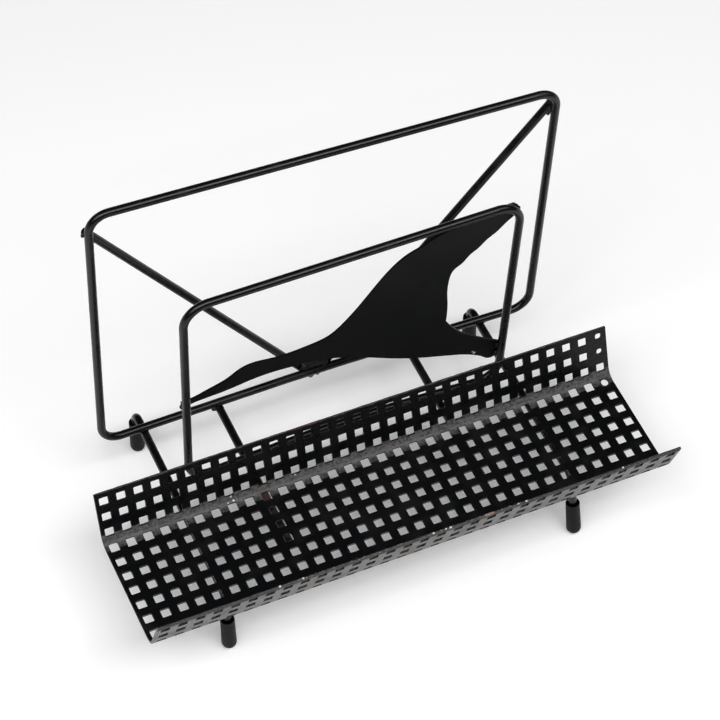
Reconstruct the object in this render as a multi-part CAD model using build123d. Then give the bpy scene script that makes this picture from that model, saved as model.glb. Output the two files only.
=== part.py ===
from build123d import *
import os
from math import cos, radians, sin, tan

# Letter rack with a perforated pen tray in front, all of welded round wire and sheet steel.
#
# Units are millimetres, +X to the right, +Y to the back, +Z up.  The rack is laid out in its
# bed frame, whose XY plane is the middle of the tray's floor and whose Y = 0 is the sharp rear
# bend line of the tray.  The bed is then tilted back and lifted to stand on its four feet, and
# the origin ends up under the middle of the bounding box, on the surface that it stands on.

# Stock
WIRE_D = 3.8
SHEET_T = 1.1
PLATE_T = 1.0
WELD_SINK = 0.2          # how far a welded wire sets into what it lies on

# Stance
BED_TILT = 5.2           # degrees, the back of the bed lies lower
BED_HEIGHT = 31.9        # rear bend line above the ground

# Tray: one sheet with square holes on a square pitch, bent up along both long sides
TRAY_LENGTH = 248.0
REAR_FLANGE = 21.2       # flat stretch of each of the three panels
FLOOR_FLAT = 46.6
FRONT_FLANGE = 20.0
REAR_FLANGE_ANGLE = 68.0
FRONT_FLANGE_ANGLE = 71.5
BEND_R = 7.0             # to the middle of the sheet
HOLE_PITCH = 8.0
HOLE_SIZE = 4.2
HOLE_MARGIN = 3.6        # least distance from a hole's centre to an edge of the sheet

# Back loop: large closed rectangle that the letters lean on
BACK_LOWER_WIDTH = 211.5     # between wire centres
BACK_UPPER_WIDTH = 212.2
BACK_HEIGHT = 144.6
BACK_CORNER_R = 9.2
BACK_Y = 50.8            # ends of the bottom bar behind the tray's rear bend line
BACK_LEAN = 1.3          # degrees back from square to the bed
BACK_TURN = -0.3         # degrees that the whole loop is turned about its upright axis
BACK_TWIST = -1.8        # degrees that the top bar is turned further
BACK_SHIFT = 1.5         # to the right of the tray's middle
BACK_BOW = 1.6           # the bottom bar's middle is pushed back by this much

# Front loop: smaller closed rectangle that carries the bird
FRONT_LOWER_WIDTH = 152.0
FRONT_UPPER_WIDTH = 156.5
FRONT_HEIGHT = 117.5
FRONT_CORNER_R = 11.4
FRONT_Y = 17.4
FRONT_LEAN = 0.6
FRONT_TURN = 0.3
FRONT_SHIFT = -0.5
FRONT_BOW = 2.8

BOW_SPAN = 30.0          # straight stretch in the middle of a bowed bottom bar

# Two straight wires in a V on the back of the back loop
BRACE_SHIFT = -0.8       # the V's middle, from the loop's middle
BRACE_BAR_SPAN = 12.0        # between the two braces at the bottom bar's height
BRACE_TOP_SPAN = 211.5       # between their upper ends
BRACE_TOP_HEIGHT = 133.3     # upper ends above the bottom bar's centre
BRACE_DROP = 6.4             # lower ends below the bottom bar's centre

# Two runners under the bed, bent down into legs at both ends
RUNNER_SHIFT = -0.6      # to the right of the tray's middle
RUNNER_REAR_SPAN = 166.8     # between the two, at their rear corners
RUNNER_FRONT_SPAN = 167.6
RUNNER_REAR_Y = 62.1     # rear corners, halfway between the two
RUNNER_STAGGER = 2.4     # how much further back the left one reaches
RUNNER_FRONT_Y = -43.6
RUNNER_BEND_R = 4.5
LEG_LEANS = {            # degrees forward from square to the bed, and to the right
    "rear_left": (5.2, 0.7),
    "front_left": (6.3, 1.2),
    "rear_right": (0, 2.5),
    "front_right": (11.3, 2.4),
}

# Two short rails under the loops and the tray
RAIL_SHIFT = -0.9
RAIL_SPAN = 93.6
RAIL_REAR_OVERHANG = 3.4     # past the ends of the back loop's bottom bar
RAIL_FRONT_Y = -29.0

# Rubber tips on the legs
TIP_RIM_D = 6.4
TIP_END_D = 6.8
TIP_LENGTH = 18.4
TIP_MOUTH_D = 5.3
TIP_MOUTH_DEPTH = 4.0
TIP_MOUTH_TAPER = 1.0
TIP_FLOOR = 4.2          # solid rubber under the wire's end
TIP_FLAT = 0.4           # how much of the round end is worn flat on the ground

# Flying bird, cut from flat plate: (across, up) from the middle of the front loop's bottom bar
BIRD_BACK = [
    (-78.7, 54.2), (-73.4, 54.4), (-65.6, 56.8), (-56.5, 60.2), (-52.5, 62.9), (-48.7, 64.5),
    (-43.8, 64.9), (-37.3, 64.0), (-28.5, 63.5), (-19.7, 64.2), (-9.1, 66.6), (-2.8, 71.7),
    (3.5, 78.9), (11.8, 90.1), (20.7, 100.4), (27.1, 104.8), (33.0, 107.0), (38.2, 109.6),
    (52.9, 112.9), (70.5, 115.9), (75.6, 116.2),
]
BIRD_TRAILING_EDGE = [
    (77.7, 114.1), (78.1, 110.6), (75.8, 108.1), (72.2, 105.1), (68.1, 101.0), (64.1, 98.2),
    (59.4, 93.6), (56.4, 91.5), (52.9, 87.4), (48.9, 84.4), (47.6, 81.4), (46.9, 75.9),
    (46.8, 71.0), (47.4, 63.9), (47.7, 56.9), (47.5, 50.5),
]
BIRD_TAIL_TOP = [(47.5, 50.5), (51.2, 44.4), (55.8, 38.8), (60.8, 34.3), (67.8, 28.9), (76.2, 23.2)]
BIRD_BELLY = [
    (75.8, 14.6), (73.3, 13.3), (70.8, 13.6), (67.9, 16.0), (63.2, 19.4), (59.2, 21.6),
    (50.9, 24.9), (39.5, 29.0), (30.0, 32.8), (16.2, 39.6), (5.5, 45.4), (-7.8, 50.8),
    (-18.0, 53.0), (-26.4, 54.2), (-35.8, 54.9), (-46.4, 54.4), (-56.0, 52.9), (-66.8, 52.1),
    (-73.5, 51.5), (-78.1, 50.0),
]

WIRE_R = WIRE_D / 2
WIRE_STEP = WIRE_D - WELD_SINK                       # between centres of two welded wires
RUNNER_Z = -(SHEET_T / 2 + WIRE_R - WELD_SINK)       # runners and rails, under the floor
BAR_Z = RUNNER_Z + WIRE_STEP                         # bottom bars of both loops, on the rails
TIP_END_R = TIP_END_D / 2


def bed_frame():
    """Placement of the tilted bed over the ground."""
    return Pos(0, 0, BED_HEIGHT) * Rot(-BED_TILT, 0, 0)


def back_loop_frame():
    """Middle of the back loop's bottom bar, X along it and Z up the loop."""
    return Pos(BACK_SHIFT, BACK_Y, BAR_Z) * Rot(0, 0, BACK_TURN) * Rot(-BACK_LEAN, 0, 0)


def front_loop_frame():
    """Middle of the front loop's bottom bar, X along it and Z up the loop."""
    return Pos(FRONT_SHIFT, FRONT_Y, BAR_Z) * Rot(0, 0, FRONT_TURN) * Rot(-FRONT_LEAN, 0, 0)


def straight_wire(start, end):
    """Round wire between two points."""
    path = Line(start, end)
    return sweep(path.location_at(0) * Circle(WIRE_R), path=path)


def bent_wire(points, bend_r):
    """Round wire along straight runs, with a bend of the given radius at each corner."""
    path = FilletPolyline(*points, radius=bend_r)
    return sweep(path.location_at(0) * Circle(WIRE_R), path=path)


def tray_middle_line():
    """Middle of the tray's sheet in the YZ plane, from the rear lip to the front lip."""
    rear = radians(REAR_FLANGE_ANGLE)
    front = radians(FRONT_FLANGE_ANGLE)
    rear_tangent = BEND_R * tan(rear / 2)
    front_tangent = BEND_R * tan(front / 2)
    floor = rear_tangent + FLOOR_FLAT + front_tangent
    rear_side = REAR_FLANGE + rear_tangent
    front_side = FRONT_FLANGE + front_tangent
    return FilletPolyline(
        (0, rear_side * cos(rear), rear_side * sin(rear)),
        (0, 0, 0),
        (0, -floor, 0),
        (0, -floor - front_side * cos(front), front_side * sin(front)),
        radius=BEND_R,
    )


def hole_stations(length):
    """Hole centres along a length: as many as fit on the pitch, centred."""
    count = int((length - 2 * HOLE_MARGIN) / HOLE_PITCH) + 1
    start = (length - (count - 1) * HOLE_PITCH) / 2
    return [start + i * HOLE_PITCH for i in range(count)]


def make_tray():
    """Perforated sheet, bent up at the rear and the front."""
    middle = tray_middle_line()
    section = middle.location_at(0, x_dir=(1, 0, 0)) * Rectangle(TRAY_LENGTH, SHEET_T)
    sheet = sweep(section, path=middle)
    punches = []
    for along in hole_stations(middle.length):
        row = middle.location_at(along, PositionMode.LENGTH, x_dir=(1, 0, 0))
        for across in hole_stations(TRAY_LENGTH):
            punch = Box(HOLE_SIZE, 3 * SHEET_T, HOLE_SIZE)
            punches.append(Pos(across - TRAY_LENGTH / 2, 0, 0) * row * punch)
    return sheet.cut(*punches)


def make_loop(bottom_bar, lower_width, upper_width, height, corner_r, twist):
    """Closed wire rectangle in its own frame, bent in two halves that meet mid-bar.

    The bottom bar is given as (across, back) points from its middle outwards.
    """
    halves = []
    for side in (-1, 1):
        lower = (side * lower_width / 2, 0, 0)
        reach = side * upper_width / 2
        upper = (reach * cos(radians(twist)), reach * sin(radians(twist)), height)
        bar = [(side * across, back, 0) for across, back in bottom_bar]
        halves.append(bent_wire([*bar, lower, upper, (0, 0, height)], corner_r))
    return halves[0] + halves[1]


def make_back_loop():
    """Large loop that the letters lean on, its bottom bar bowed back."""
    bar = [(0, BACK_BOW), (BOW_SPAN / 2, BACK_BOW)]
    size = (BACK_LOWER_WIDTH, BACK_UPPER_WIDTH, BACK_HEIGHT)
    return back_loop_frame() * make_loop(bar, *size, BACK_CORNER_R, BACK_TWIST)


def make_front_loop():
    """Smaller loop that carries the bird, its bottom bar bowed back."""
    bar = [(0, FRONT_BOW), (BOW_SPAN / 2, FRONT_BOW)]
    size = (FRONT_LOWER_WIDTH, FRONT_UPPER_WIDTH, FRONT_HEIGHT)
    return front_loop_frame() * make_loop(bar, *size, FRONT_CORNER_R, 0)


def make_brace(side):
    """One wire of the V, from behind the bottom bar's middle to behind a side of the loop."""
    upper_corner_y = side * BACK_UPPER_WIDTH / 2 * sin(radians(BACK_TWIST))
    side_y = upper_corner_y * BRACE_TOP_HEIGHT / BACK_HEIGHT
    top = Vector(BRACE_SHIFT + side * BRACE_TOP_SPAN / 2, side_y + WIRE_STEP, BRACE_TOP_HEIGHT)
    at_bar = Vector(BRACE_SHIFT + side * BRACE_BAR_SPAN / 2, BACK_BOW + WIRE_STEP, 0)
    foot = at_bar + (at_bar - top) * (BRACE_DROP / BRACE_TOP_HEIGHT)
    return back_loop_frame() * straight_wire(foot, top)


def make_bird():
    """Flat plate in the outline of a flying bird, behind the front loop."""
    back = Spline(*BIRD_BACK)
    wing_tip = Line(BIRD_BACK[-1], BIRD_TRAILING_EDGE[0])
    trailing_edge = Spline(*BIRD_TRAILING_EDGE)
    tail_top = Spline(*BIRD_TAIL_TOP)
    tail_end = Line(BIRD_TAIL_TOP[-1], BIRD_BELLY[0])
    belly = Spline(*BIRD_BELLY)
    beak_end = Line(BIRD_BELLY[-1], BIRD_BACK[0])
    outline = make_face([back, wing_tip, trailing_edge, tail_top, tail_end, belly, beak_end])
    plate = extrude(outline, PLATE_T / 2, both=True)
    behind = WIRE_R + PLATE_T / 2 - WELD_SINK
    return front_loop_frame() * Pos(0, behind, 0) * Rot(90, 0, 0) * plate


def leg_frame(corner_x, corner_y, leans):
    """A runner's corner in the bed frame, with Z up along the leg."""
    forward, sideways = leans
    return Pos(RUNNER_SHIFT + corner_x, corner_y, RUNNER_Z) * Rot(-forward, -sideways, 0)


def leg_length(leg):
    """Down a leg to the middle of its tip's round end, which stands on the ground."""
    standing = bed_frame() * leg
    corner_height = standing.position.Z
    slope = corner_height - (standing * Pos(0, 0, -1)).position.Z
    return (corner_height - (TIP_END_R - TIP_FLAT)) / slope


def wire_end(leg):
    """Lower end of a leg's wire, inside its tip."""
    return (leg * Pos(0, 0, -leg_length(leg) - TIP_END_R + TIP_FLOOR)).position


def make_runner(rear_leg, front_leg):
    """Wire under the bed whose two ends are bent down into legs."""
    corners = [rear_leg.position, front_leg.position]
    return bent_wire([wire_end(rear_leg), *corners, wire_end(front_leg)], RUNNER_BEND_R)


def make_rail(side):
    """Straight wire from the back loop's bottom bar to the middle of the tray's floor."""
    x = RAIL_SHIFT + side * RAIL_SPAN / 2
    rear_y = BACK_Y + RAIL_REAR_OVERHANG
    return straight_wire((x, rear_y, RUNNER_Z), (x, RAIL_FRONT_Y, RUNNER_Z))


def make_tip(leg):
    """Rubber sleeve with a round end, flat where it stands on the ground."""
    rim_z = TIP_LENGTH - TIP_END_R
    floor_z = TIP_FLOOR - TIP_END_R
    mouth_z = rim_z - TIP_MOUTH_DEPTH
    end = CenterArc((0, 0), TIP_END_R, -90, 90)
    wall = Polyline(
        (TIP_END_R, 0),
        (TIP_RIM_D / 2, rim_z),
        (TIP_MOUTH_D / 2, rim_z),
        (TIP_MOUTH_D / 2, mouth_z),
        (WIRE_R, mouth_z - TIP_MOUTH_TAPER),
        (WIRE_R, floor_z),
        (0, floor_z),
        (0, -TIP_END_R),
    )
    tip = revolve(Plane.XZ * make_face([end, wall]), Axis.Z)
    standing = bed_frame() * leg * Pos(0, 0, -leg_length(leg)) * tip
    return split(standing, Plane.XY, keep=Keep.TOP)


def make_nodes():
    """Every piece of the rack by name, standing on the ground."""
    bed = bed_frame()
    nodes = {
        "tray": bed * make_tray(),
        "back_loop": bed * make_back_loop(),
        "front_loop": bed * make_front_loop(),
        "bird_plate": bed * make_bird(),
    }
    for name, side in (("left", -1), ("right", 1)):
        rear_x = side * RUNNER_REAR_SPAN / 2
        rear_y = RUNNER_REAR_Y - side * RUNNER_STAGGER / 2
        rear_leg = leg_frame(rear_x, rear_y, LEG_LEANS[f"rear_{name}"])
        front_x = side * RUNNER_FRONT_SPAN / 2
        front_leg = leg_frame(front_x, RUNNER_FRONT_Y, LEG_LEANS[f"front_{name}"])
        nodes[f"brace_{name}"] = bed * make_brace(side)
        nodes[f"rail_{name}"] = bed * make_rail(side)
        nodes[f"runner_{name}"] = bed * make_runner(rear_leg, front_leg)
        nodes[f"foot_tip_rear_{name}"] = make_tip(rear_leg)
        nodes[f"foot_tip_front_{name}"] = make_tip(front_leg)
    return nodes


def centred(nodes):
    """The same pieces with the origin under the middle of their bounding box."""
    boxes = [shape.bounding_box() for shape in nodes.values()]
    middle_x = (min(b.min.X for b in boxes) + max(b.max.X for b in boxes)) / 2
    middle_y = (min(b.min.Y for b in boxes) + max(b.max.Y for b in boxes)) / 2
    return {name: Pos(-middle_x, -middle_y, 0) * shape for name, shape in nodes.items()}


os.makedirs("parts", exist_ok=True)
for node_name, node_shape in centred(make_nodes()).items():
    export_step(node_shape, f"parts/{node_name}.step")
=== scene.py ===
"""Looks of the letter rack: black paint, weld beads, paint chips and rubber on the packed frame."""

import math

import bmesh
import bpy
from mathutils import Matrix, Vector


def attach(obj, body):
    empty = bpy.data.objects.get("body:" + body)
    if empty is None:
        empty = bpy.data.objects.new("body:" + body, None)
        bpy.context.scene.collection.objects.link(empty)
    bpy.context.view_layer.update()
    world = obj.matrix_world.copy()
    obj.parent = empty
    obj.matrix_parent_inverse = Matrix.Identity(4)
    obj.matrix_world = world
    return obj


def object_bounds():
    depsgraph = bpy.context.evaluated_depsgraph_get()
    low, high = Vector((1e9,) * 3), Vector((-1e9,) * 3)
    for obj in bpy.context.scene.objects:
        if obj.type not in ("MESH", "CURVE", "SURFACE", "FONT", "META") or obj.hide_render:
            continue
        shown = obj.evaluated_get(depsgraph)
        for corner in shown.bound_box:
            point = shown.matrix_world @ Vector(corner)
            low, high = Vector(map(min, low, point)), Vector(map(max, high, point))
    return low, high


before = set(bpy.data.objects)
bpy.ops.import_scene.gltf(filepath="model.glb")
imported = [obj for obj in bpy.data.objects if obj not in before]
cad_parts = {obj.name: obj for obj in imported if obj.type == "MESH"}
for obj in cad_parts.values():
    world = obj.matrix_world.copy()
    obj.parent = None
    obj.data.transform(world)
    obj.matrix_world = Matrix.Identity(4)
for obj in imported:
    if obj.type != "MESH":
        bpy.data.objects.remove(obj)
CAD_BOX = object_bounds()

bl_info = {
    "name": "Letter rack looks",
    "version": (1, 0, 0),
    "blender": (4, 5, 0),
    "location": "3D View > Sidebar > Letter rack",
    "description": "Paint, welds, chips, rubber tips and studio of a wire letter rack",
    "category": "Object",
}

MM = 0.001
WIRES = (
    "back_loop",
    "front_loop",
    "brace_left",
    "brace_right",
    "runner_left",
    "runner_right",
    "rail_left",
    "rail_right",
)
TIPS = ("foot_tip_rear_left", "foot_tip_rear_right", "foot_tip_front_left", "foot_tip_front_right")

# The bed's own axes: the tray's floor lies in their XY plane, its rear bend line on their X axis
BED_Y = -6.227
BED_HEIGHT = 31.9
BED_TILT = math.radians(5.2)
BED = Matrix.Translation((0, BED_Y * MM, BED_HEIGHT * MM)) @ Matrix.Rotation(-BED_TILT, 4, "X")

# The tray's sheet from the rear lip to the front lip, in mm and degrees
REAR_FLANGE = 21.2
FLOOR_FLAT = 46.6
FRONT_FLANGE = 20.0
REAR_ANGLE = 68.0
FRONT_ANGLE = 71.5
BEND_R = 7.0
SHEET_WIDTH = REAR_FLANGE + FLOOR_FLAT + FRONT_FLANGE + BEND_R * math.radians(REAR_ANGLE + FRONT_ANGLE)

# The tray's holes, and the paint beads along its lips, in mm
HOLE_PITCH = 8.0
FIRST_ROW = 4.42
ROWS = 13
COLUMNS = 31
BEND_ROWS = (3, 9, 10)
LIP_INSET = 0.25
LIP_HALF_LENGTH = 123.3

# Weld beads: place and half sizes in mm, and the turn about Z in degrees
WELD_BEADS = (
    (-50.1, 44.7, 26.4, 1.7, 1.4, 1.2, 20),
    (-46.0, 45.9, 26.9, 1.0, 1.3, 0.9, 0),
    (-47.6, 43.9, 26.0, 1.5, 0.9, 1.0, 0),
    (43.9, 44.9, 26.7, 1.2, 1.3, 1.0, 0),
    (47.7, 45.4, 26.8, 1.1, 1.4, 1.0, 0),
    (-86.0, 45.0, 26.9, 1.0, 1.4, 1.0, 0),
    (-82.2, 45.4, 26.8, 1.2, 1.3, 1.1, 0),
    (80.9, 44.2, 26.9, 1.1, 1.4, 1.0, 0),
    (84.7, 44.5, 26.9, 1.1, 1.3, 1.0, 0),
    (-49.6, 12.0, 29.9, 1.1, 1.4, 1.0, 0),
    (-45.8, 12.3, 29.8, 1.1, 1.3, 1.0, 0),
    (44.0, 12.6, 29.8, 1.1, 1.4, 1.0, 0),
    (47.8, 12.7, 29.8, 1.1, 1.3, 1.0, 0),
    (-4.2, 47.9, 30.4, 2.7, 1.6, 2.6, 0),
    (-1.2, 47.9, 30.9, 2.9, 1.6, 2.9, 0),
    (1.8, 47.9, 30.9, 2.9, 1.6, 2.8, 0),
    (4.5, 47.7, 30.3, 2.4, 1.6, 2.3, 0),
    (0.6, 48.6, 27.0, 3.0, 1.3, 2.2, 0),
    (5.0, 47.0, 25.4, 1.2, 1.1, 1.3, 0),
    (6.7, 46.9, 26.0, 1.1, 1.0, 1.1, 30),
    (-104.6, 64.7, 157.9, 1.0, 1.1, 1.5, 0),
    (-106.6, 64.8, 160.9, 0.9, 1.0, 1.2, 0),
    (106.4, 59.8, 160.9, 1.7, 1.6, 2.2, 0),
    (106.8, 59.5, 157.9, 1.4, 1.5, 2.6, 0),
    (106.4, 59.1, 155.6, 0.9, 1.1, 1.8, 0),
    (105.0, 58.6, 159.2, 1.2, 1.1, 1.6, 0),
    (-78.5, 17.0, 85.1, 1.3, 1.3, 1.8, 0),
    (-79.0, 17.9, 82.3, 0.9, 1.0, 1.2, 0),
    (74.2, 15.0, 52.6, 1.2, 0.9, 1.8, 0),
    (74.0, 14.5, 47.3, 1.4, 1.2, 1.6, 20),
    (75.4, 14.6, 45.3, 1.0, 1.0, 1.1, 0),
    (73.2, 25.2, 146.6, 1.8, 0.8, 1.0, 0),
    (77.4, 24.7, 143.0, 0.8, 0.8, 1.5, 0),
    (57.5, 25.2, 147.0, 1.9, 0.7, 0.8, 0),
    (36.5, 24.9, 145.3, 1.7, 0.7, 0.9, 0),
)

# Chips where the paint has come off: place and radius in mm
TRAY_CHIPS = (
    (-63.4, -5.56, 34.93, 0.40),
    (-62.8, -7.17, 33.66, 0.46),
    (-65.5, -7.41, 33.54, 0.26),
    (-32.6, -5.40, 35.10, 0.32),
    (-68.3, -68.2, 61.7, 0.50),
    (-57.5, -68.2, 61.7, 0.46),
    (3.5, -68.2, 61.7, 0.48),
    (9.3, -68.2, 61.7, 0.40),
    (11.6, -68.2, 61.7, 0.54),
    (48.0, -68.2, 61.7, 0.46),
    (44.2, -68.2, 61.7, 0.34),
    (95.2, -68.2, 61.7, 0.46),
)
BIRD_CHIPS = (
    (63.1, 15.35, 52.13, 0.66),
    (62.2, 15.47, 53.30, 0.38),
)

# Stretches of rusty, dull, specked or scratched paint, and the bird's creases: both ends in mm
RAIL_RUST = ((-47.7, -8.5, 32.0), (-47.7, -10.5, 32.2))
RAIL_DULLNESS = ((-47.7, -17.0, 32.8), (-47.7, -40.0, 34.9))
REAR_LIP_RUST = ((-31.0, 5.6, 55.0), (-20.0, 5.6, 55.0))
FRONT_LIP_SPECKS = ((-60.0, -68.3, 61.6), (46.0, -68.3, 61.6))
FRONT_LIP_SCRATCH = ((28.6, -68.2, 61.6), (31.6, -68.2, 61.6))
BIRD_CREASES = (
    ((30.0, 22.2, 112.6), (66.0, 23.6, 132.0)),
    ((26.0, 21.2, 104.0), (54.0, 22.6, 118.0)),
    ((-64.0, 17.8, 84.5), (-58.0, 17.9, 86.5)),
)

# Directions that the tray's surfaces face
REAR_FLANGE_INSIDE = (0.0, -0.889, 0.457)
REAR_BEND_INSIDE = (0.0, -0.482, 0.876)
HOLE_WALL = (0.0, -0.996, 0.0906)
FRONT_FLANGE_OUTSIDE = (0.0, -0.973, -0.23)

# Colours of worn places, and of the painted reflections and highlight on the tray's rear bend and
# front flange
DULL_RAIL = (0.022, 0.019, 0.018, 1.0)
# the rear bend's grey: worn patches with a painted reflection of the light above, and its paler
# painted highlight
BEND_WEAR_AND_SHEEN_GREY = (0.056, 0.054, 0.054, 1.0)
CREST_HIGHLIGHT_GREY = (0.098, 0.095, 0.092, 1.0)
# brown painted reflection of the floor on the front flange's outer face
FLOOR_REFLECTION_BROWN = (0.068, 0.061, 0.056, 1.0)
SCRATCH_PINK = (0.42, 0.27, 0.22, 1.0)
SPECK_METAL = (0.30, 0.25, 0.18, 1.0)
LIP_RUST_RED = (0.060, 0.014, 0.012, 1.0)
TIP_DUST = (0.010, 0.0104, 0.0112, 1.0)

# Softboxes: where each one is and how large, in metres, and the point that they all shine at
SOFTBOXES = {
    "overhead": ((-0.05, -0.50, 1.30), (1.4, 0.6)),
    "left": ((-0.93, -0.20, 1.15), (0.7, 0.8)),
    "right": ((0.89, -0.20, 1.18), (0.7, 0.8)),
}
SHINE_AT = Vector((0.0, 0.0, 0.05))

# The photograph's viewpoint: the camera's place in metres and its own right and up
CAMERA_PLACE = (-0.372092, -0.615923, 1.172210)
CAMERA_RIGHT = Vector((0.91114064, -0.40415385, 0.08051331))
CAMERA_UP = Vector((0.29700529, 0.77946114, 0.55156884))
HALF_PIXEL = 0.5 / 720


# ---------------------------------------------------------------- node trees


class Value:
    """A number in a node tree that takes part in plain arithmetic."""

    def __init__(self, bench, socket):
        self.bench = bench
        self.socket = socket

    def __add__(self, other):
        return self.bench.math("ADD", self, other)

    def __radd__(self, other):
        return self.bench.math("ADD", other, self)

    def __sub__(self, other):
        return self.bench.math("SUBTRACT", self, other)

    def __rsub__(self, other):
        return self.bench.math("SUBTRACT", other, self)

    def __mul__(self, other):
        return self.bench.math("MULTIPLY", self, other)

    def __rmul__(self, other):
        return self.bench.math("MULTIPLY", other, self)


class Bench:
    """Builds one node tree, of a material or of a Geometry Nodes group."""

    def __init__(self, tree):
        self.tree = tree

    def node(self, kind, inputs=None, **settings):
        """A node with its settings, then the values or links of its sockets."""
        made = self.tree.nodes.new(kind)
        for name, setting in settings.items():
            setattr(made, name, setting)
        for key, value in (inputs or {}).items():
            if isinstance(value, Value):
                value = value.socket
            if isinstance(value, bpy.types.NodeSocket):
                self.tree.links.new(value, made.inputs[key])
            else:
                made.inputs[key].default_value = value
        return made

    def math(self, operation, *values):
        made = self.node("ShaderNodeMath", dict(enumerate(values)), operation=operation)
        return Value(self, made.outputs[0])

    def vector(self, operation, *values, output="Vector"):
        made = self.node("ShaderNodeVectorMath", dict(enumerate(values)), operation=operation)
        return Value(self, made.outputs[output])

    def noise(self, place, scale, detail=2.0):
        """Noise of about 0 to 1; the scale is features per metre."""
        made = self.node("ShaderNodeTexNoise", {"Vector": place, "Scale": scale, "Detail": detail})
        return Value(self, made.outputs[0])

    def band(self, value, low, high):
        """0 below low, 1 above high and smooth between; falling where low is the higher."""
        inputs = {0: value, 1: min(low, high), 2: max(low, high)}
        inputs.update({3: 0.0, 4: 1.0} if low < high else {3: 1.0, 4: 0.0})
        made = self.node("ShaderNodeMapRange", inputs, interpolation_type="SMOOTHSTEP")
        return Value(self, made.outputs[0])

    def mix(self, share, first, second):
        """The first colour, with a share of the second over it."""
        inputs = {0: share, 6: first, 7: second}
        made = self.node("ShaderNodeMix", inputs, data_type="RGBA")
        return Value(self, made.outputs[2])


class Finish(Bench):
    """A material for one finish, its patterns laid out in the rack's own frame."""

    def __init__(self, name):
        self.material = bpy.data.materials.new(name)
        self.material.use_nodes = True
        super().__init__(self.material.node_tree)
        self.tree.nodes.clear()
        self.place = self.node("ShaderNodeTexCoord").outputs["Object"]
        self.facing = self.node("ShaderNodeNewGeometry").outputs["Normal"]

    def axis(self, name, vector=None):
        """One coordinate, X, Y or Z, of a vector or of the place."""
        made = self.node("ShaderNodeSeparateXYZ", {0: vector or self.place})
        return Value(self, made.outputs[name])

    def faces(self, direction):
        """How squarely the surface faces a direction."""
        return self.vector("DOT_PRODUCT", self.facing, direction, output="Value")

    def near_line(self, start, end):
        """Distance in metres from the line between two points given in mm."""
        origin = Vector(start) * MM
        span = Vector(end) * MM - origin
        offset = self.vector("SUBTRACT", self.place, origin)
        along = self.vector("DOT_PRODUCT", offset, span / span.length_squared, output="Value")
        share = self.math("MAXIMUM", self.math("MINIMUM", along, 1.0), 0.0)
        spread = self.node("ShaderNodeCombineXYZ", {0: share, 1: share, 2: share}).outputs[0]
        foot = self.vector("MULTIPLY", spread, span)
        return self.vector("DISTANCE", offset, foot, output="Value")

    def chipped(self, chips, scale):
        """1 where the paint has come off in any of the chips, 0 elsewhere, with ragged rims."""
        ragged = 0.0004 * self.noise(self.place, 1900.0, 2.0)
        share = 0.0
        for x, y, z, radius in chips:
            centre = Vector((x, y, z)) * MM
            distance = self.vector("DISTANCE", self.place, centre, output="Value") + ragged
            edge = radius * scale * MM + 0.0002
            share = self.math("MAXIMUM", share, self.band(distance, edge + 0.0001, edge - 0.0001))
        return share

    def finished(self, colour, roughness, height, depth, specular=0.5, **more):
        """Closes the tree: colour, roughness and a bump whose full height is depth metres."""
        bump = self.node("ShaderNodeBump", {"Strength": 1.0, "Distance": depth, "Height": height})
        inputs = {
            "Base Color": colour,
            "Roughness": roughness,
            "Specular IOR Level": specular,
            "Normal": bump.outputs[0],
            **more,
        }
        surface = self.node("ShaderNodeBsdfPrincipled", inputs).outputs[0]
        self.node("ShaderNodeOutputMaterial", {"Surface": surface})
        return self.material


def colour4(colour):
    """A property's colour with an alpha of 1."""
    return (*colour[:3], 1.0)


# ---------------------------------------------------------------- settings


class RackPaintSettings(bpy.types.PropertyGroup):
    """Paint on wire, sheet and plate."""

    black: bpy.props.FloatVectorProperty(
        name="Paint",
        description="Colour of the black paint",
        subtype="COLOR",
        size=3,
        default=(0.0022, 0.0025, 0.0029),
        min=0.0,
        max=1.0,
    )
    dust: bpy.props.FloatVectorProperty(
        name="Dull patches",
        description="Colour of the paint where it is rubbed or dusty",
        subtype="COLOR",
        size=3,
        default=(0.0095, 0.0095, 0.0100),
        min=0.0,
        max=1.0,
    )
    rust: bpy.props.FloatVectorProperty(
        name="Rust",
        description="Tint of thin paint in holes and at edges",
        subtype="COLOR",
        size=3,
        default=(0.045, 0.021, 0.013),
        min=0.0,
        max=1.0,
    )
    bare: bpy.props.FloatVectorProperty(
        name="Chips",
        description="Colour of the bare metal in a chip",
        subtype="COLOR",
        size=3,
        default=(0.62, 0.61, 0.56),
        min=0.0,
        max=1.0,
    )
    wire_roughness: bpy.props.FloatProperty(
        name="Wire roughness",
        description="Least roughness of the paint on the wires",
        default=0.24,
        min=0.05,
        max=1.0,
    )
    chip_scale: bpy.props.FloatProperty(
        name="Chip scale",
        description="Scale of every paint chip",
        default=1.0,
        min=0.2,
        max=3.0,
    )
    sheet_roughness: bpy.props.FloatProperty(
        name="Sheet roughness",
        description="Least roughness of the paint on the tray",
        default=0.27,
        min=0.05,
        max=1.0,
    )
    plate_roughness: bpy.props.FloatProperty(
        name="Plate roughness",
        description="Least roughness of the paint on the bird",
        default=0.46,
        min=0.05,
        max=1.0,
    )


class RackWeldSettings(bpy.types.PropertyGroup):
    """Weld beads."""

    scale: bpy.props.FloatProperty(
        name="Bead scale",
        description="Scale of every weld bead",
        default=1.0,
        min=0.5,
        max=1.5,
    )
    lump: bpy.props.FloatProperty(
        name="Lumpiness",
        description="How far the lumps of a bead stand out",
        default=0.0009,
        min=0.0,
        max=0.002,
        unit="LENGTH",
    )


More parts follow.
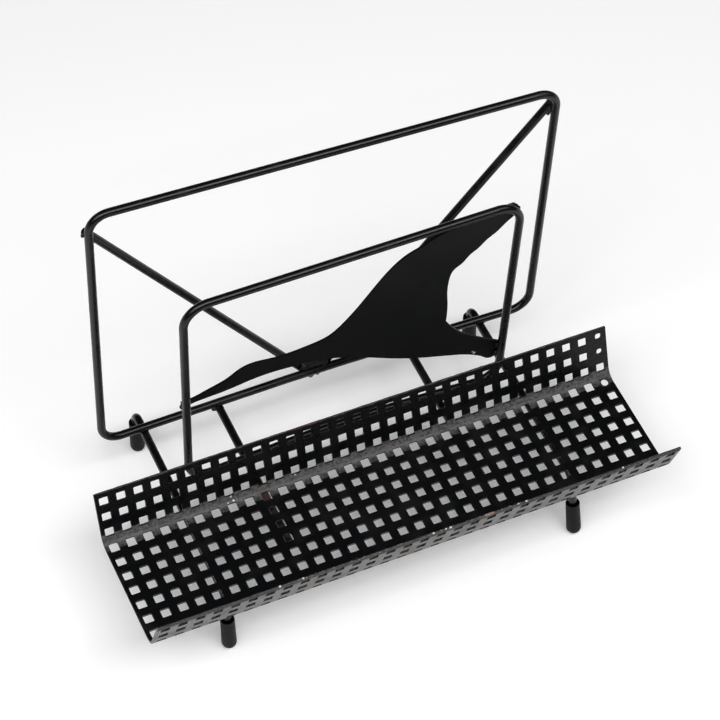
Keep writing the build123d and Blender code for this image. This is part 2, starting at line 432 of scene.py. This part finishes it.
class RackHoleSettings(bpy.types.PropertyGroup):
    """Paint in the tray's holes and along its lips."""

    hole_size: bpy.props.FloatProperty(
        name="Hole size",
        description="Side of the square holes",
        default=0.0042,
        min=0.001,
        max=0.01,
        unit="LENGTH",
    )
    corner: bpy.props.FloatProperty(
        name="Corner radius",
        description="Radius of the paint in the corners of the holes",
        default=0.0006,
        min=0.0001,
        max=0.002,
        unit="LENGTH",
    )
    lip_radius: bpy.props.FloatProperty(
        name="Lip bead",
        description="Radius of the paint gathered along the tray's lips",
        default=0.00066,
        min=0.0002,
        max=0.001,
        unit="LENGTH",
    )


class RackTipSettings(bpy.types.PropertyGroup):
    """Rubber tips."""

    rubber: bpy.props.FloatVectorProperty(
        name="Rubber",
        description="Colour of the rubber",
        subtype="COLOR",
        size=3,
        default=(0.0026, 0.0029, 0.0033),
        min=0.0,
        max=1.0,
    )
    roughness: bpy.props.FloatProperty(
        name="Roughness",
        description="Least roughness of the rubber",
        default=0.50,
        min=0.05,
        max=1.0,
    )


class RackStageSettings(bpy.types.PropertyGroup):
    """Floor, lamps and camera."""

    floor: bpy.props.FloatVectorProperty(
        name="Floor",
        description="Colour of the floor",
        subtype="COLOR",
        size=3,
        default=(0.93, 0.925, 0.925),
        min=0.0,
        max=1.0,
    )
    glow: bpy.props.FloatProperty(
        name="Floor glow",
        description="White that the floor adds where it is seen or mirrored",
        default=0.16,
        min=0.0,
        max=1.0,
    )
    overhead: bpy.props.FloatProperty(
        name="Overhead softbox",
        description="Power of the softbox above the rack",
        default=14.8,
        min=0.0,
        unit="POWER",
    )
    left: bpy.props.FloatProperty(
        name="Left softbox",
        description="Power of the softbox high on the left",
        default=7.2,
        min=0.0,
        unit="POWER",
    )
    right: bpy.props.FloatProperty(
        name="Right softbox",
        description="Power of the softbox high on the right",
        default=3.9,
        min=0.0,
        unit="POWER",
    )
    room: bpy.props.FloatProperty(
        name="Room light",
        description="Strength of the light from all sides",
        default=0.03,
        min=0.0,
        max=1.0,
    )
    lens: bpy.props.FloatProperty(
        name="Lens",
        description="Focal length of the camera",
        default=150.49,
        min=20.0,
        max=400.0,
        unit="CAMERA",
    )


SETTINGS = (
    ("rack_paint", RackPaintSettings),
    ("rack_welds", RackWeldSettings),
    ("rack_holes", RackHoleSettings),
    ("rack_tips", RackTipSettings),
    ("rack_stage", RackStageSettings),
)


# ---------------------------------------------------------------- finishes


def wire_paint(paint):
    """Semi-gloss brushed-on black over drawn wire."""
    f = Finish("wire_paint")
    peel = f.noise(f.place, 300.0, 2.0)
    rub = f.band(f.noise(f.place, 75.0, 4.0), 0.50, 0.72)
    stain = f.band(f.noise(f.place, 160.0, 3.0), 0.62, 0.74)
    # the left rail under the tray: rusty in one hole, patchy and dull further forward
    rusted = f.band(f.near_line(*RAIL_RUST), 0.0042, 0.0030)
    dull = f.band(f.near_line(*RAIL_DULLNESS), 0.0045, 0.0030)
    patches = f.band(f.noise(f.place, 260.0, 3.0), 0.38, 0.58)
    colour = f.mix(rub * 0.55, colour4(paint.black), colour4(paint.dust))
    colour = f.mix(dull * 0.6 * patches, colour, DULL_RAIL)
    colour = f.mix(stain * 0.2 + 0.8 * rusted, colour, colour4(paint.rust))
    roughness = paint.wire_roughness + 0.12 * rub + 0.05 * peel + 0.2 * rusted
    return f.finished(colour, roughness, peel, 0.00005, specular=0.35)


def sheet_paint(paint):
    """Thick black paint on the perforated sheet, mottled at the bends and brown in the holes."""
    f = Finish("sheet_paint")
    mottle = f.noise(f.place, 420.0, 3.0)
    grain = f.noise(f.place, 1300.0, 2.0)
    rub = f.band(f.noise(f.place, 95.0, 4.0), 0.48, 0.70)
    side_wall = f.band(f.math("ABSOLUTE", f.axis("X", f.facing)), 0.6, 0.8)
    row_wall = f.band(f.faces(HOLE_WALL), 0.985, 0.992)
    wall = f.math("MAXIMUM", side_wall, row_wall)
    patchy = f.band(f.noise(f.place, 210.0, 3.0), 0.42, 0.62)
    coarse = f.band(f.noise(f.place, 700.0, 4.0), 0.40, 0.62)
    # the inside of the rear bend: patches of dull grey wear with a painted reflection of the light
    # above, and a paler painted highlight in its upper half
    bend = f.band(f.faces(REAR_BEND_INSIDE), 0.84, 0.87)
    crest_highlight = bend * f.band(f.faces(REAR_FLANGE_INSIDE), 0.86, 0.93)
    # the outer face of the front flange, with a brown painted reflection of the floor, except on the
    # uneven strip under the lip, which stays black and rougher
    outer = f.band(f.faces(FRONT_FLANGE_OUTSIDE), 0.90, 0.97)
    under_lip = f.band(f.axis("Z") + 0.0028 * f.noise(f.place, 260.0, 3.0), 0.0594, 0.0606)
    floor_reflection = outer * (1.0 - under_lip)
    # the front lip: specks worn through to the metal, and a scratch; the rear lip: a rusty length
    lip = f.band(f.near_line(*FRONT_LIP_SPECKS), 0.0010, 0.0006)
    specks = lip * f.band(f.noise(f.place, 1500.0, 1.0), 0.60, 0.68)
    scratch = f.band(f.near_line(*FRONT_LIP_SCRATCH), 0.0010, 0.0004)
    rusty_lip = f.band(f.near_line(*REAR_LIP_RUST), 0.0011, 0.0005)
    colour = f.mix(rub * 0.4, colour4(paint.black), colour4(paint.dust))
    # painted reflection and highlight on the rear bend, over patchy wear
    colour = f.mix(bend * (0.35 + 0.65 * coarse), colour, BEND_WEAR_AND_SHEEN_GREY)
    colour = f.mix(crest_highlight * (0.35 + 0.65 * coarse), colour, CREST_HIGHLIGHT_GREY)
    # painted reflection of the floor on the front flange
    colour = f.mix(floor_reflection * (0.25 + 0.75 * coarse), colour, FLOOR_REFLECTION_BROWN)
    colour = f.mix(wall * (0.25 + 0.75 * patchy), colour, colour4(paint.rust))
    colour = f.mix(scratch * 0.5, colour, SCRATCH_PINK)
    colour = f.mix(specks * 0.6, colour, SPECK_METAL)
    colour = f.mix(rusty_lip * 0.4, colour, LIP_RUST_RED)
    colour = f.mix(f.chipped(TRAY_CHIPS, paint.chip_scale), colour, colour4(paint.bare))
    worn = f.math("MAXIMUM", bend, outer)
    roughness = paint.sheet_roughness + 0.10 * rub + 0.10 * worn * coarse + 0.25 * outer * under_lip
    height = mottle * 0.6 + 0.4 * grain * (0.4 + 0.6 * worn)
    return f.finished(colour, roughness, height, 0.00022, specular=0.31)


def plate_paint(paint):
    """Flat black on the bird, with the creases left by cutting and bending it."""
    f = Finish("plate_paint")
    grain = f.noise(f.place, 900.0, 3.0)
    cloud = f.band(f.noise(f.place, 60.0, 4.0), 0.45, 0.75)
    wander = 0.0016 * f.noise(f.place, 130.0, 2.0)
    height = 0.25 * grain
    for start, end in BIRD_CREASES:
        height = height + 0.8 * f.band(f.near_line(start, end) + wander, 0.0022, 0.0009)
    colour = f.mix(cloud * 0.4, colour4(paint.black), colour4(paint.dust))
    colour = f.mix(f.chipped(BIRD_CHIPS, paint.chip_scale), colour, colour4(paint.bare))
    roughness = paint.plate_roughness + 0.12 * cloud
    return f.finished(colour, roughness, height, 0.00012, specular=0.14)


def weld_paint(paint):
    """Paint over a weld, glossier on the lumps and brown in between."""
    f = Finish("weld_paint")
    grain = f.noise(f.place, 1100.0, 3.0)
    stain = f.band(f.noise(f.place, 330.0, 2.0), 0.55, 0.70)
    colour = f.mix(stain * 0.2, colour4(paint.black), colour4(paint.rust))
    return f.finished(colour, 0.32 + 0.2 * grain, grain, 0.00006, specular=0.35)


def tip_rubber(tips):
    """Matt rubber, finely grained, smudged and a little dusty towards the ground."""
    f = Finish("tip_rubber")
    grain = f.noise(f.place, 1500.0, 3.0)
    smudge = f.band(f.noise(f.place, 240.0, 3.0), 0.42, 0.70)
    low = f.band(f.axis("Z"), 0.0075, 0.0005)
    colour = f.mix(smudge * 0.35 + low * 0.25, colour4(tips.rubber), TIP_DUST)
    roughness = tips.roughness + 0.15 * smudge + 0.08 * grain
    return f.finished(colour, roughness, grain, 0.00004, specular=0.2)


def floor_paper(stage):
    """White paper, its tone varying a little, with a glow that lights nothing."""
    f = Finish("floor_paper")
    cloud = f.noise(f.place, 1.5, 2.0)
    shade = tuple(0.985 * channel for channel in stage.floor)
    colour = f.mix(cloud, colour4(shade), colour4(stage.floor))
    rays = f.node("ShaderNodeLightPath").outputs
    mirrored = f.math("MAXIMUM", rays["Is Glossy Ray"], rays["Is Transmission Ray"])
    glow = stage.glow * f.math("MAXIMUM", rays["Is Camera Ray"], mirrored)
    fibres = f.noise(f.place, 500.0, 1.0)
    emission = {"Emission Color": glow, "Emission Strength": 1.0}
    return f.finished(colour, 0.9 + 0.05 * cloud, fibres, 0.00001, specular=0.1, **emission)


# ---------------------------------------------------------------- pieces


def give_finish(node, material):
    """Puts a finish on a CAD node."""
    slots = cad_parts[node].material_slots
    if not slots:
        raise RuntimeError(f"{node} has no material slot")
    for slot in slots:
        slot.material = material


class Tree(Bench):
    """A Geometry Nodes group with named inputs, run once to give a plain mesh."""

    def __init__(self, name, **inputs):
        super().__init__(bpy.data.node_groups.new(name, "GeometryNodeTree"))
        face = self.tree.interface
        face.new_socket("Geometry", in_out="INPUT", socket_type="NodeSocketGeometry")
        self.keys = {}
        kinds = {float: "NodeSocketFloat", int: "NodeSocketInt", tuple: "NodeSocketVector"}
        for label, value in inputs.items():
            label = label.replace("_", " ")
            item = face.new_socket(label, in_out="INPUT", socket_type=kinds[type(value)])
            item.default_value = value
            self.keys[label] = (item.identifier, value)
        face.new_socket("Geometry", in_out="OUTPUT", socket_type="NodeSocketGeometry")
        self.input = self.node("NodeGroupInput").outputs

    def named(self, attribute):
        """A vector attribute of the points."""
        made = self.node(
            "GeometryNodeInputNamedAttribute", {"Name": attribute}, data_type="FLOAT_VECTOR"
        )
        return made.outputs[0]

    def joined(self, first, second):
        """Two geometries as one."""
        made = self.node("GeometryNodeJoinGeometry", {0: first})
        self.tree.links.new(second, made.inputs[0])
        return made.outputs[0]

    def on_points(self, instance):
        """The instance on every point, by the point's own turn and size."""
        turn = self.node("FunctionNodeEulerToRotation", {0: self.named("turn")}).outputs[0]
        inputs = {
            "Points": self.input["Geometry"],
            "Instance": instance,
            "Rotation": turn,
            "Scale": self.named("size"),
        }
        return self.node("GeometryNodeInstanceOnPoints", inputs).outputs[0]

    def lumped(self, geometry, place, level, height):
        """The geometry pushed along its normals by noise, which leaves it alone at the level."""
        lumps = self.noise(place, self.math("DIVIDE", 1.0, self.input["Lump size"]), 2.0)
        push = (lumps - level) * height
        outward = self.node("GeometryNodeInputNormal").outputs[0]
        offset = self.node("ShaderNodeVectorMath", {0: outward, "Scale": push}, operation="SCALE")
        inputs = {"Geometry": geometry, "Offset": offset.outputs[0]}
        return self.node("GeometryNodeSetPosition", inputs).outputs[0]

    def ended(self, geometry, material):
        """Realized instances with their material, joined to the group's output."""
        real = self.node("GeometryNodeRealizeInstances", {0: geometry}).outputs[0]
        set_material = {"Geometry": real, "Material": material}
        dressed = self.node("GeometryNodeSetMaterial", set_material).outputs[0]
        self.node("NodeGroupOutput", {0: dressed})

    def made_from(self, carrier, name, smooth=True):
        """The plain mesh that the group makes of a carrier object, riding on the rack."""
        modifier = carrier.modifiers.new(self.tree.name, "NODES")
        modifier.node_group = self.tree
        for identifier, value in self.keys.values():
            modifier[identifier] = value
        depsgraph = bpy.context.evaluated_depsgraph_get()
        mesh = bpy.data.meshes.new_from_object(carrier.evaluated_get(depsgraph))
        mesh.name = name
        bpy.data.objects.remove(carrier)
        if not mesh.polygons:
            raise RuntimeError(f"{name} came out empty")
        mesh.polygons.foreach_set("use_smooth", [smooth] * len(mesh.polygons))
        piece = bpy.data.objects.new(name, mesh)
        bpy.context.scene.collection.objects.link(piece)
        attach(piece, "root")
        return piece


def points_object(name, places, **attributes):
    """A mesh of loose points in metres, with vector attributes."""
    mesh = bpy.data.meshes.new(name)
    mesh.from_pydata([tuple(p) for p in places], [], [])
    for label, vectors in attributes.items():
        layer = mesh.attributes.new(label, "FLOAT_VECTOR", "POINT")
        layer.data.foreach_set("vector", [c for v in vectors for c in v])
    carrier = bpy.data.objects.new(name, mesh)
    bpy.context.scene.collection.objects.link(carrier)
    return carrier


def sheet_place(along):
    """Where the sheet's middle is, this many mm from the rear lip, and the angle it runs down at."""
    rear, front = math.radians(REAR_ANGLE), math.radians(FRONT_ANGLE)
    rear_arc, front_arc = BEND_R * rear, BEND_R * front
    tangent = BEND_R * math.tan(rear / 2)
    y = (REAR_FLANGE + tangent) * math.cos(rear)
    z = (REAR_FLANGE + tangent) * math.sin(rear)
    angle = rear
    left = along
    for length, bend in (
        (REAR_FLANGE, 0.0),
        (rear_arc, -rear),
        (FLOOR_FLAT, 0.0),
        (front_arc, -front),
        (FRONT_FLANGE, 0.0),
    ):
        step = min(left, length)
        if bend:
            turned = bend * step / length
            chord = 2 * BEND_R * math.sin(abs(turned) / 2)
            middle = angle + turned / 2
            y -= chord * math.cos(middle)
            z -= chord * math.sin(middle)
            angle += turned
        else:
            y -= step * math.cos(angle)
            z -= step * math.sin(angle)
        left -= step
        if left <= 0:
            break
    return y, z, angle


def hole_collar(tree):
    """A collar of paint in one hole: a square that fills it, less the opening that is left."""
    given = tree.input
    outer_size = Value(tree, given["Hole size"]) + 2.0 * Value(tree, given["Set in"])
    square = "GeometryNodeCurvePrimitiveQuadrilateral"
    outer = tree.node(square, {"Width": outer_size, "Height": outer_size}).outputs[0]
    inner = tree.node(square, {"Width": given["Opening"], "Height": given["Opening"]}).outputs[0]
    rounding = {"Curve": inner, "Radius": given["Corner radius"], "Count": 3, "Limit Radius": True}
    rounded = tree.node("GeometryNodeFilletCurve", rounding, mode="POLY").outputs[0]
    shift = {"Geometry": rounded, "Translation": given["Shift"]}
    opening = tree.node("GeometryNodeTransform", shift).outputs[0]
    outlines = tree.joined(outer, opening)
    face = tree.node("GeometryNodeFillCurve", {0: outlines}, mode="TRIANGLES").outputs[0]
    drop = tree.node("ShaderNodeCombineXYZ", {2: Value(tree, given["Depth"]) * -0.5}).outputs[0]
    low = tree.node("GeometryNodeTransform", {"Geometry": face, "Translation": drop}).outputs[0]
    rise = {"Mesh": low, "Offset Scale": given["Depth"], "Individual": False}
    raised = tree.node("GeometryNodeExtrudeMesh", rise, mode="FACES").outputs[0]
    under = tree.node("GeometryNodeFlipFaces", {0: low}).outputs[0]
    sewn = {"Geometry": tree.joined(raised, under), "Distance": 0.000004}
    return tree.node("GeometryNodeMergeByDistance", sewn).outputs[0]


def hole_corners(holes, paint_finish):
    """The paint that rounds the holes' corners, and narrows three holes of the last column."""
    kinds = {
        "hole_corners": (holes.hole_size, holes.corner, (0.0, 0.0, 0.0)),
        "narrowed_hole_a": (0.0029, 0.0009, (0.00005, 0.0006, 0.0)),
        "narrowed_hole_b": (0.0028, 0.0011, (0.00005, 0.00055, 0.0)),
        "round_hole": (0.0034, 0.0017, (0.0, 0.0, 0.0)),
    }
    last = COLUMNS - 1
    special = {(0, last): "narrowed_hole_a", (1, last): "narrowed_hole_b", (3, last): "round_hole"}
    stations = {kind: ([], [], []) for kind in kinds}
    for row in range(ROWS):
        y, z, angle = sheet_place(FIRST_ROW + HOLE_PITCH * row)
        # a flat collar in a bent hole is thinner, so that it stays inside the sheet
        thickness = 0.55 if row in BEND_ROWS else 1.0
        for column in range(COLUMNS):
            x = HOLE_PITCH * (column - COLUMNS // 2)
            places, turns, sizes = stations[special.get((row, column), "hole_corners")]
            places.append(BED @ (Vector((x, y, z)) * MM))
            turns.append((angle - BED_TILT, 0.0, 0.0))
            sizes.append((1.0, 1.0, thickness))
    for kind, (opening, corner, shift) in kinds.items():
        tree = Tree(
            kind,
            Hole_size=holes.hole_size,
            Opening=opening,
            Corner_radius=corner,
            Shift=shift,
            Depth=0.00094,
            Set_in=0.00008,
        )
        tree.ended(tree.on_points(hole_collar(tree)), paint_finish)
        places, turns, sizes = stations[kind]
        carrier = points_object(kind, places, turn=turns, size=sizes)
        tree.made_from(carrier, kind, smooth=False)


def lip_beads(holes, paint_finish):
    """Paint gathered in an uneven bead along the tray's two long lips."""
    lips = (("lip_bead_rear", LIP_INSET, 0.9), ("lip_bead_front", SHEET_WIDTH - LIP_INSET, 1.0))
    for name, along, scale in lips:
        y, z, _ = sheet_place(along)
        ends = [BED @ (Vector((x, y, z)) * MM) for x in (-LIP_HALF_LENGTH, LIP_HALF_LENGTH)]
        tree = Tree(
            name,
            Bead_radius=holes.lip_radius * scale,
            Unevenness=0.00045,
            Lump_size=0.0038,
            Front_limit=CAD_BOX[0].y + 0.00002,
        )
        given = tree.input
        line = tree.node("GeometryNodeMeshToCurve", {0: given["Geometry"]}).outputs[0]
        stations = {"Curve": line, "Count": 330}
        finer = tree.node("GeometryNodeResampleCurve", stations, mode="COUNT").outputs[0]
        circle = {"Resolution": 10, "Radius": given["Bead radius"]}
        ring = tree.node("GeometryNodeCurvePrimitiveCircle", circle, mode="RADIUS").outputs[0]
        sweep = {"Curve": finer, "Profile Curve": ring, "Fill Caps": True}
        tube = tree.node("GeometryNodeCurveToMesh", sweep).outputs[0]
        place = tree.node("GeometryNodeInputPosition").outputs[0]
        moved = tree.lumped(tube, place, 0.62, given["Unevenness"])
        # no lump reaches past the front of the tray
        split = tree.node("ShaderNodeSeparateXYZ", {0: place}).outputs
        held_y = tree.math("MAXIMUM", split[1], given["Front limit"])
        held = tree.node("ShaderNodeCombineXYZ", {0: split[0], 1: held_y, 2: split[2]}).outputs[0]
        inside = tree.node("GeometryNodeSetPosition", {"Geometry": moved, "Position": held})
        tree.ended(inside.outputs[0], paint_finish)
        mesh = bpy.data.meshes.new(name)
        mesh.from_pydata([tuple(p) for p in ends], [(0, 1)], [])
        carrier = bpy.data.objects.new(name, mesh)
        bpy.context.scene.collection.objects.link(carrier)
        tree.made_from(carrier, name)


def weld_beads(welds, finish):
    """Lumpy beads where the wires, the tray and the bird are welded together."""
    places = [Vector(bead[:3]) * MM for bead in WELD_BEADS]
    sizes = [[half * MM * welds.scale for half in bead[3:6]] for bead in WELD_BEADS]
    turns = [(0.0, 0.0, math.radians(bead[6])) for bead in WELD_BEADS]
    tree = Tree("weld_beads", Lump_height=welds.lump, Lump_size=0.0016, Seed_shift=(3.1, 0.0, 7.7))
    given = tree.input
    blob = tree.node("GeometryNodeMeshIcoSphere", {"Radius": 1.0, "Subdivisions": 4}).outputs[0]
    real = tree.node("GeometryNodeRealizeInstances", {0: tree.on_points(blob)}).outputs[0]
    place = tree.node("GeometryNodeInputPosition").outputs[0]
    shifted = tree.vector("ADD", place, given["Seed shift"])
    tree.ended(tree.lumped(real, shifted, 0.5, given["Lump height"]), finish)
    carrier = points_object("weld_beads", places, turn=turns, size=sizes)
    tree.made_from(carrier, "weld_beads")


# ---------------------------------------------------------------- stage


def add_softbox(name, place, size, power):
    """A rectangular softbox that shines at the rack."""
    lamp = bpy.data.lights.new(name, "AREA")
    lamp.shape = "RECTANGLE"
    lamp.size, lamp.size_y = size
    lamp.energy = power
    holder = bpy.data.objects.new(name, lamp)
    toward = SHINE_AT - Vector(place)
    turn = toward.to_track_quat("-Z", "Y").to_matrix().to_4x4()
    holder.matrix_world = Matrix.Translation(place) @ turn
    bpy.context.scene.collection.objects.link(holder)


def add_floor(material):
    """A large sheet of paper under the rack."""
    mesh = bpy.data.meshes.new("floor")
    net = bmesh.new()
    bmesh.ops.create_grid(net, x_segments=8, y_segments=8, size=4.0)
    net.to_mesh(mesh)
    net.free()
    mesh.materials.append(material)
    floor = bpy.data.objects.new("floor", mesh)
    bpy.context.scene.collection.objects.link(floor)


def light_room(strength):
    """Dim, even light from all sides."""
    world = bpy.data.worlds.new("room")
    world.use_nodes = True
    bench = Bench(world.node_tree)
    bench.tree.nodes.clear()
    light = {"Color": (1.0, 1.0, 1.0, 1.0), "Strength": strength}
    bench.node("ShaderNodeOutputWorld", {0: bench.node("ShaderNodeBackground", light).outputs[0]})
    bpy.context.scene.world = world


def add_camera(lens):
    """The photograph's viewpoint."""
    data = bpy.data.cameras.new("camera")
    data.sensor_width = 36.0
    data.lens = lens
    data.shift_x = -HALF_PIXEL
    data.shift_y = HALF_PIXEL
    data.clip_start = 0.05
    data.clip_end = 20.0
    camera = bpy.data.objects.new("camera", data)
    back = CAMERA_RIGHT.cross(CAMERA_UP)
    turn = Matrix((CAMERA_RIGHT, CAMERA_UP, back)).transposed().to_4x4()
    camera.matrix_world = Matrix.Translation(CAMERA_PLACE) @ turn
    bpy.context.scene.collection.objects.link(camera)
    bpy.context.scene.camera = camera


# ---------------------------------------------------------------- operators and panel


class RACK_OT_paint_wires(bpy.types.Operator):
    """Paints the loops, braces, runners and rails"""

    bl_idname = "rack.paint_wires"
    bl_label = "Paint wires"

    def execute(self, context):
        material = wire_paint(context.scene.rack_paint)
        for node in WIRES:
            give_finish(node, material)
        return {"FINISHED"}


class RACK_OT_paint_tray(bpy.types.Operator):
    """Paints the tray, rounds its holes and beads its lips"""

    bl_idname = "rack.paint_tray"
    bl_label = "Paint tray"

    def execute(self, context):
        material = sheet_paint(context.scene.rack_paint)
        give_finish("tray", material)
        hole_corners(context.scene.rack_holes, material)
        lip_beads(context.scene.rack_holes, material)
        return {"FINISHED"}


class RACK_OT_paint_bird(bpy.types.Operator):
    """Paints the bird plate"""

    bl_idname = "rack.paint_bird"
    bl_label = "Paint bird"

    def execute(self, context):
        give_finish("bird_plate", plate_paint(context.scene.rack_paint))
        return {"FINISHED"}


class RACK_OT_add_weld_beads(bpy.types.Operator):
    """Adds the weld beads at the joints"""

    bl_idname = "rack.add_weld_beads"
    bl_label = "Weld beads"

    def execute(self, context):
        weld_beads(context.scene.rack_welds, weld_paint(context.scene.rack_paint))
        return {"FINISHED"}


class RACK_OT_dress_tips(bpy.types.Operator):
    """Gives the four foot tips their rubber"""

    bl_idname = "rack.dress_tips"
    bl_label = "Rubber tips"

    def execute(self, context):
        material = tip_rubber(context.scene.rack_tips)
        for node in TIPS:
            give_finish(node, material)
        return {"FINISHED"}


class RACK_OT_set_stage(bpy.types.Operator):
    """Sets up the floor, the lamps and the camera"""

    bl_idname = "rack.set_stage"
    bl_label = "Studio"

    def execute(self, context):
        stage = context.scene.rack_stage
        add_floor(floor_paper(stage))
        for side, (place, size) in SOFTBOXES.items():
            add_softbox(f"{side}_softbox", place, size, getattr(stage, side))
        light_room(stage.room)
        add_camera(stage.lens)
        context.scene.view_settings.view_transform = "Standard"
        return {"FINISHED"}


OPERATORS = (
    RACK_OT_paint_wires,
    RACK_OT_paint_tray,
    RACK_OT_paint_bird,
    RACK_OT_add_weld_beads,
    RACK_OT_dress_tips,
    RACK_OT_set_stage,
)


class VIEW3D_PT_letter_rack(bpy.types.Panel):
    """Lists the rack's pieces and their settings"""

    bl_label = "Letter rack"
    bl_idname = "VIEW3D_PT_letter_rack"
    bl_space_type = "VIEW_3D"
    bl_region_type = "UI"
    bl_category = "Letter rack"

    def draw(self, context):
        for label, kind in SETTINGS:
            box = self.layout.box()
            box.label(text=kind.__doc__)
            for key in kind.__annotations__:
                box.prop(getattr(context.scene, label), key)
        for operator in OPERATORS:
            self.layout.operator(operator.bl_idname)


def register():
    """Adds the settings, the operators and the panel."""
    for label, kind in SETTINGS:
        bpy.utils.register_class(kind)
        setattr(bpy.types.Scene, label, bpy.props.PointerProperty(type=kind))
    for kind in (*OPERATORS, VIEW3D_PT_letter_rack):
        bpy.utils.register_class(kind)


def unregister():
    """Takes them away again."""
    for kind in (VIEW3D_PT_letter_rack, *reversed(OPERATORS)):
        bpy.utils.unregister_class(kind)
    for label, kind in reversed(SETTINGS):
        delattr(bpy.types.Scene, label)
        bpy.utils.unregister_class(kind)


def main():
    """Dresses the rack and sets the stage."""
    register()
    bpy.ops.rack.paint_wires()
    bpy.ops.rack.paint_tray()
    bpy.ops.rack.paint_bird()
    bpy.ops.rack.add_weld_beads()
    bpy.ops.rack.dress_tips()
    bpy.ops.rack.set_stage()


if __name__ == "__main__":
    main()
